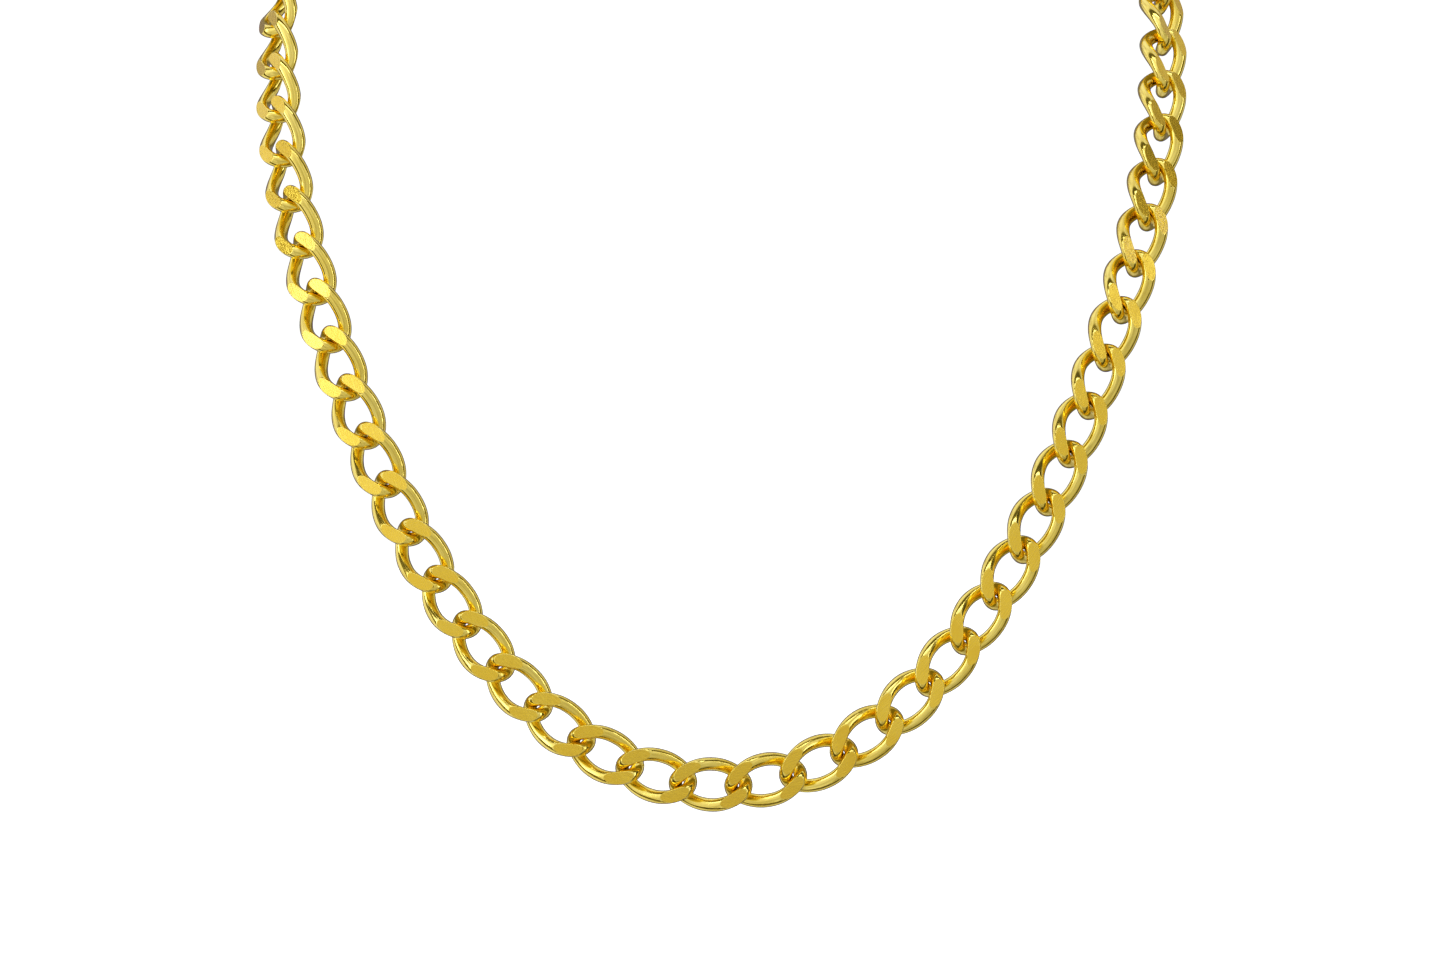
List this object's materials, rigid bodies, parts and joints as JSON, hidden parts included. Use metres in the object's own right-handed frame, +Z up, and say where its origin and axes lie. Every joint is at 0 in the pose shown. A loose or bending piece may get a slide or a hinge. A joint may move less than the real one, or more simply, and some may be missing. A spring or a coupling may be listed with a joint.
{
  "type": "chain necklace",
  "caption": "Gold-plated open curb chain necklace, worn shape, with a trigger clasp and an end tag, the clasp undone.",
  "frame": {"origin": "the middle of the loop, on the neck's axis, half way between the lowest link and the nape", "axes": "+Z up along the neck, -Y to the wearer's front, +X to the right as seen from the front"},
  "size_m": [0.1187, 0.0761, 0.1346],
  "materials": {
    "chain_gold": "gold plated, polished",
    "finding_gold": "gold plated, cast or drawn",
    "spring_steel": "spring steel, bare"
  },
  "bodies": {
    "lowest_link": {"lowest_link": "chain_gold"},
    "right_link_01": {"right_link_01": "chain_gold"},
    "right_link_02": {"right_link_02": "chain_gold"},
    "right_link_03": {"right_link_03": "chain_gold"},
    "right_link_04": {"right_link_04": "chain_gold"},
    "right_link_05": {"right_link_05": "chain_gold"},
    "right_link_06": {"right_link_06": "chain_gold"},
    "right_link_07": {"right_link_07": "chain_gold"},
    "right_link_08": {"right_link_08": "chain_gold"},
    "right_link_09": {"right_link_09": "chain_gold"},
    "right_link_10": {"right_link_10": "chain_gold"},
    "right_link_11": {"right_link_11": "chain_gold"},
    "right_link_12": {"right_link_12": "chain_gold"},
    "right_link_13": {"right_link_13": "chain_gold"},
    "right_link_14": {"right_link_14": "chain_gold"},
    "right_link_15": {"right_link_15": "chain_gold"},
    "right_link_16": {"right_link_16": "chain_gold"},
    "right_link_17": {"right_link_17": "chain_gold"},
    "right_link_18": {"right_link_18": "chain_gold"},
    "right_link_19": {"right_link_19": "chain_gold"},
    "right_link_20": {"right_link_20": "chain_gold"},
    "right_link_21": {"right_link_21": "chain_gold"},
    "right_link_22": {"right_link_22": "chain_gold"},
    "right_link_23": {"right_link_23": "chain_gold"},
    "right_link_24": {"right_link_24": "chain_gold"},
    "right_links_25_26": {"right_links_25_26": "chain_gold"},
    "right_links_27_28": {"right_links_27_28": "chain_gold"},
    "left_link_01": {"left_link_01": "chain_gold"},
    "left_link_02": {"left_link_02": "chain_gold"},
    "left_link_03": {"left_link_03": "chain_gold"},
    "left_link_04": {"left_link_04": "chain_gold"},
    "left_link_05": {"left_link_05": "chain_gold"},
    "left_link_06": {"left_link_06": "chain_gold"},
    "left_link_07": {"left_link_07": "chain_gold"},
    "left_link_08": {"left_link_08": "chain_gold"},
    "left_link_09": {"left_link_09": "chain_gold"},
    "left_link_10": {"left_link_10": "chain_gold"},
    "left_link_11": {"left_link_11": "chain_gold"},
    "left_link_12": {"left_link_12": "chain_gold"},
    "left_link_13": {"left_link_13": "chain_gold"},
    "left_link_14": {"left_link_14": "chain_gold"},
    "left_link_15": {"left_link_15": "chain_gold"},
    "left_link_16": {"left_link_16": "chain_gold"},
    "left_link_17": {"left_link_17": "chain_gold"},
    "left_link_18": {"left_link_18": "chain_gold"},
    "left_link_19": {"left_link_19": "chain_gold"},
    "left_link_20": {"left_link_20": "chain_gold"},
    "left_link_21": {"left_link_21": "chain_gold"},
    "left_link_22": {"left_link_22": "chain_gold"},
    "left_link_23": {"left_link_23": "chain_gold"},
    "left_link_24": {"left_link_24": "chain_gold"},
    "left_links_25_26": {"left_links_25_26": "chain_gold"},
    "left_links_27_28": {"left_links_27_28": "chain_gold"},
    "clasp_jump_ring": {"clasp_jump_ring": "finding_gold"},
    "clasp": {"clasp_body": "finding_gold", "clasp_rivet": "finding_gold", "clasp_spring": "spring_steel"},
    "clasp_lever": {"clasp_lever": "finding_gold"},
    "end_jump_ring": {"end_jump_ring": "finding_gold"},
    "end_tag": {"end_tag": "finding_gold"}
  },
  "joints": [
    {"name": "lever_press", "type": "hinge", "parent": "clasp", "child": "clasp_lever", "pos_m": [-0.0041, 0.0362, 0.0633], "axis": [0.0777, -0.878, 0.4723], "range_deg": [0, 28], "stiffness_Nm_per_rad": 0.015, "springref_deg": -17.19},
    {"name": "clasp_swing", "type": "hinge", "parent": "clasp_jump_ring", "child": "clasp", "pos_m": [-0.01103, 0.03591, 0.06391], "axis": [-0.0777, 0.878, -0.4723], "range_deg": [-20, 20]},
    {"name": "clasp_jump_ring_swing", "type": "hinge", "parent": "left_links_27_28", "child": "clasp_jump_ring", "pos_m": [-0.01454, 0.03545, 0.06363], "axis": [-0.1299, 0.4608, 0.8779], "range_deg": [0, 25]},
    {"name": "end_tag_swing", "type": "hinge", "parent": "end_jump_ring", "child": "end_tag", "pos_m": [0.01335, 0.03585, 0.06389], "axis": [0.1949, 0.8272, 0.527], "range_deg": [-20, 20]},
    {"name": "end_jump_ring_swing", "type": "hinge", "parent": "right_links_27_28", "child": "end_jump_ring", "pos_m": [0.01683, 0.03526, 0.06353], "axis": [0.0025, 0.5369, -0.8437], "range_deg": [0, 25]},
    {"name": "right_link_01_swing", "type": "hinge", "parent": "lowest_link", "child": "right_link_01", "pos_m": [0.00224, -0.03475, -0.06333], "axis": [0.0152, 0.9789, -0.2039], "range_deg": [0, 18]},
    {"name": "right_link_02_swing", "type": "hinge", "parent": "right_link_01", "child": "right_link_02", "pos_m": [0.0089, -0.03447, -0.06198], "axis": [0.0505, 0.9806, -0.1894], "range_deg": [0, 16]},
    {"name": "right_link_03_swing", "type": "hinge", "parent": "right_link_02", "child": "right_link_03", "pos_m": [0.01509, -0.03389, -0.05922], "axis": [0.0622, 0.9832, -0.1716], "range_deg": [0, 14]},
    {"name": "right_link_04_swing", "type": "hinge", "parent": "right_link_03", "child": "right_link_04", "pos_m": [0.02064, -0.03308, -0.05539], "axis": [0.0514, 0.9847, -0.1666], "range_deg": [0, 12]},
    {"name": "right_link_05_swing", "type": "hinge", "parent": "right_link_04", "child": "right_link_05", "pos_m": [0.02556, -0.03211, -0.05079], "axis": [0.0399, 0.979, -0.1997], "range_deg": [0, 10]},
    {"name": "right_link_06_swing", "type": "hinge", "parent": "right_link_05", "child": "right_link_06", "pos_m": [0.0299, -0.03101, -0.04568], "axis": [0.0669, 0.9542, -0.2917], "range_deg": [0, 9]},
    {"name": "right_link_07_swing", "type": "hinge", "parent": "right_link_06", "child": "right_link_07", "pos_m": [0.03375, -0.02977, -0.04021], "axis": [0.1156, 0.9036, -0.4124], "range_deg": [0, 8]},
    {"name": "right_link_08_swing", "type": "hinge", "parent": "right_link_07", "child": "right_link_08", "pos_m": [0.03718, -0.02837, -0.0345], "axis": [0.1815, 0.817, -0.5474], "range_deg": [0, 7]},
    {"name": "right_link_09_swing", "type": "hinge", "parent": "right_link_08", "child": "right_link_09", "pos_m": [0.04024, -0.02678, -0.02864], "axis": [0.2526, 0.6928, -0.6754], "range_deg": [0, 7]},
    {"name": "right_link_10_swing", "type": "hinge", "parent": "right_link_09", "child": "right_link_10", "pos_m": [0.04301, -0.025, -0.02269], "axis": [0.3146, 0.5437, -0.778], "range_deg": [0, 7]},
    {"name": "right_link_11_swing", "type": "hinge", "parent": "right_link_10", "child": "right_link_11", "pos_m": [0.04551, -0.02299, -0.0167], "axis": [0.3584, 0.3886, -0.8488], "range_deg": [0, 7]},
    {"name": "right_link_12_swing", "type": "hinge", "parent": "right_link_11", "child": "right_link_12", "pos_m": [0.04778, -0.02076, -0.01069], "axis": [0.3818, 0.242, -0.892], "range_deg": [0, 7]},
    {"name": "right_link_13_swing", "type": "hinge", "parent": "right_link_12", "child": "right_link_13", "pos_m": [0.04986, -0.01829, -0.0047], "axis": [0.3874, 0.1102, -0.9153], "range_deg": [0, 7]},
    {"name": "right_link_14_swing", "type": "hinge", "parent": "right_link_13", "child": "right_link_14", "pos_m": [0.05175, -0.01557, 0.00124], "axis": [0.3712, 0.1791, -0.9111], "range_deg": [0, 7]},
    {"name": "right_link_15_swing", "type": "hinge", "parent": "right_link_14", "child": "right_link_15", "pos_m": [0.05342, -0.01262, 0.00713], "axis": [0.3352, 0.3787, -0.8627], "range_deg": [0, 8]},
    {"name": "right_link_16_swing", "type": "hinge", "parent": "right_link_15", "child": "right_link_16", "pos_m": [0.05473, -0.00942, 0.01299], "axis": [0.3357, 0.3577, -0.8714], "range_deg": [0, 8]},
    {"name": "right_link_17_swing", "type": "hinge", "parent": "right_link_16", "child": "right_link_17", "pos_m": [0.05565, -0.006, 0.01879], "axis": [0.2936, 0.1369, -0.9461], "range_deg": [0, 8]},
    {"name": "right_link_18_swing", "type": "hinge", "parent": "right_link_17", "child": "right_link_18", "pos_m": [0.05621, -0.00237, 0.02451], "axis": [0.1996, -0.2504, -0.9473], "range_deg": [0, 10]},
    {"name": "right_link_19_swing", "type": "hinge", "parent": "right_link_18", "child": "right_link_19", "pos_m": [0.05654, 0.00143, 0.03014], "axis": [0.2171, -0.2104, -0.9532], "range_deg": [0, 12]},
    {"name": "right_link_20_swing", "type": "hinge", "parent": "right_link_19", "child": "right_link_20", "pos_m": [0.05648, 0.00544, 0.03563], "axis": [0.3021, 0.0868, -0.9493], "range_deg": [0, 16]},
    {"name": "right_link_21_swing", "type": "hinge", "parent": "right_link_20", "child": "right_link_21", "pos_m": [0.0555, 0.00968, 0.04084], "axis": [0.3706, 0.0096, -0.9287], "range_deg": [0, 17]},
    {"name": "right_link_22_swing", "type": "hinge", "parent": "right_link_21", "child": "right_link_22", "pos_m": [0.05358, 0.01404, 0.04569], "axis": [0.446, -0.0455, -0.8939], "range_deg": [0, 18]},
    {"name": "right_link_23_swing", "type": "hinge", "parent": "right_link_22", "child": "right_link_23", "pos_m": [0.0507, 0.01839, 0.05006], "axis": [0.5148, -0.0369, -0.8565], "range_deg": [0, 19]},
    {"name": "right_link_24_swing", "type": "hinge", "parent": "right_link_23", "child": "right_link_24", "pos_m": [0.0469, 0.02253, 0.05388], "axis": [0.5782, 0.0117, -0.8158], "range_deg": [0, 19]},
    {"name": "right_links_25_26_swing", "type": "hinge", "parent": "right_link_24", "child": "right_links_25_26", "pos_m": [0.04222, 0.02629, 0.05708], "axis": [0.6204, 0.105, -0.7772], "range_deg": [0, 18]},
    {"name": "right_links_27_28_swing", "type": "hinge", "parent": "right_links_25_26", "child": "right_links_27_28", "pos_m": [0.03081, 0.03212, 0.06149], "axis": [0.5328, 0.3572, -0.7672], "range_deg": [0, 14]},
    {"name": "left_link_01_swing", "type": "hinge", "parent": "lowest_link", "child": "left_link_01", "pos_m": [-0.00455, -0.03469, -0.06305], "axis": [0.0282, -0.9793, 0.2006], "range_deg": [0, 17]},
    {"name": "left_link_02_swing", "type": "hinge", "parent": "left_link_01", "child": "left_link_02", "pos_m": [-0.01108, -0.0343, -0.06119], "axis": [0.0503, -0.9813, 0.1857], "range_deg": [0, 16]},
    {"name": "left_link_03_swing", "type": "hinge", "parent": "left_link_02", "child": "left_link_03", "pos_m": [-0.01706, -0.03363, -0.05802], "axis": [0.0442, -0.9829, 0.1788], "range_deg": [0, 13]},
    {"name": "left_link_04_swing", "type": "hinge", "parent": "left_link_03", "child": "left_link_04", "pos_m": [-0.0224, -0.03277, -0.0539], "axis": [0.0144, -0.9803, 0.1972], "range_deg": [0, 11]},
    {"name": "left_link_05_swing", "type": "hinge", "parent": "left_link_04", "child": "left_link_05", "pos_m": [-0.02711, -0.03175, -0.0491], "axis": [0.0007, -0.9605, 0.2783], "range_deg": [0, 10]},
    {"name": "left_link_06_swing", "type": "hinge", "parent": "left_link_05", "child": "left_link_06", "pos_m": [-0.03128, -0.03061, -0.04385], "axis": [0.0174, -0.9106, 0.4129], "range_deg": [0, 8]},
    {"name": "left_link_07_swing", "type": "hinge", "parent": "left_link_06", "child": "left_link_07", "pos_m": [-0.03497, -0.02931, -0.03829], "axis": [0.053, -0.8191, 0.5711], "range_deg": [0, 8]},
    {"name": "left_link_08_swing", "type": "hinge", "parent": "left_link_07", "child": "left_link_08", "pos_m": [-0.03827, -0.02785, -0.03252], "axis": [0.1011, -0.6823, 0.7241], "range_deg": [0, 7]},
    {"name": "left_link_09_swing", "type": "hinge", "parent": "left_link_08", "child": "left_link_09", "pos_m": [-0.04123, -0.0262, -0.02663], "axis": [0.1493, -0.5158, 0.8436], "range_deg": [0, 7]},
    {"name": "left_link_10_swing", "type": "hinge", "parent": "left_link_09", "child": "left_link_10", "pos_m": [-0.0439, -0.02434, -0.02066], "axis": [0.1874, -0.3457, 0.9194], "range_deg": [0, 7]},
    {"name": "left_link_11_swing", "type": "hinge", "parent": "left_link_10", "child": "left_link_11", "pos_m": [-0.04632, -0.02226, -0.01465], "axis": [0.2115, -0.1903, 0.9587], "range_deg": [0, 7]},
    {"name": "left_link_12_swing", "type": "hinge", "parent": "left_link_11", "child": "left_link_12", "pos_m": [-0.04852, -0.01994, -0.00865], "axis": [0.2227, -0.0563, 0.9733], "range_deg": [0, 8]},
    {"name": "left_link_13_swing", "type": "hinge", "parent": "left_link_12", "child": "left_link_13", "pos_m": [-0.05053, -0.01739, -0.00268], "axis": [0.2235, 0.0501, 0.9734], "range_deg": [0, 8]},
    {"name": "left_link_14_swing", "type": "hinge", "parent": "left_link_13", "child": "left_link_14", "pos_m": [-0.05237, -0.0146, 0.00324], "axis": [0.2144, -0.099, 0.9717], "range_deg": [0, 8]},
    {"name": "left_link_15_swing", "type": "hinge", "parent": "left_link_14", "child": "left_link_15", "pos_m": [-0.05393, -0.01156, 0.00912], "axis": [0.2122, -0.1834, 0.9599], "range_deg": [0, 9]},
    {"name": "left_link_16_swing", "type": "hinge", "parent": "left_link_15", "child": "left_link_16", "pos_m": [-0.0551, -0.00829, 0.01497], "axis": [0.2279, -0.093, 0.9692], "range_deg": [0, 9]},
    {"name": "left_link_17_swing", "type": "hinge", "parent": "left_link_16", "child": "left_link_17", "pos_m": [-0.0559, -0.00479, 0.02074], "axis": [0.2124, 0.0536, 0.9757], "range_deg": [0, 10]},
    {"name": "left_link_18_swing", "type": "hinge", "parent": "left_link_17", "child": "left_link_18", "pos_m": [-0.05636, -0.0011, 0.02644], "axis": [0.1955, 0.3317, 0.9229], "range_deg": [0, 10]},
    {"name": "left_link_19_swing", "type": "hinge", "parent": "left_link_18", "child": "left_link_19", "pos_m": [-0.05663, 0.00276, 0.03203], "axis": [0.2793, -0.0276, 0.9598], "range_deg": [0, 13]},
    {"name": "left_link_20_swing", "type": "hinge", "parent": "left_link_19", "child": "left_link_20", "pos_m": [-0.05627, 0.00686, 0.03743], "axis": [0.3369, -0.1489, 0.9297], "range_deg": [0, 16]},
    {"name": "left_link_21_swing", "type": "hinge", "parent": "left_link_20", "child": "left_link_21", "pos_m": [-0.05497, 0.01115, 0.04253], "axis": [0.4027, -0.0932, 0.9106], "range_deg": [0, 16]},
    {"name": "left_link_22_swing", "type": "hinge", "parent": "left_link_21", "child": "left_link_22", "pos_m": [-0.05272, 0.01553, 0.04723], "axis": [0.4606, -0.0766, 0.8843], "range_deg": [0, 16]},
    {"name": "left_link_23_swing", "type": "hinge", "parent": "left_link_22", "child": "left_link_23", "pos_m": [-0.04952, 0.01983, 0.05142], "axis": [0.51, -0.0924, 0.8552], "range_deg": [0, 17]},
    {"name": "left_link_24_swing", "type": "hinge", "parent": "left_link_23", "child": "left_link_24", "pos_m": [-0.04541, 0.02386, 0.05504], "axis": [0.56, -0.1347, 0.8175], "range_deg": [0, 17]},
    {"name": "left_links_25_26_swing", "type": "hinge", "parent": "left_link_24", "child": "left_links_25_26", "pos_m": [-0.04047, 0.02745, 0.05802], "axis": [0.5859, -0.2078, 0.7833], "range_deg": [0, 16]},
    {"name": "left_links_27_28_swing", "type": "hinge", "parent": "left_links_25_26", "child": "left_links_27_28", "pos_m": [-0.02868, 0.03283, 0.06198], "axis": [0.4957, -0.3932, 0.7744], "range_deg": [0, 13]}
  ]
}
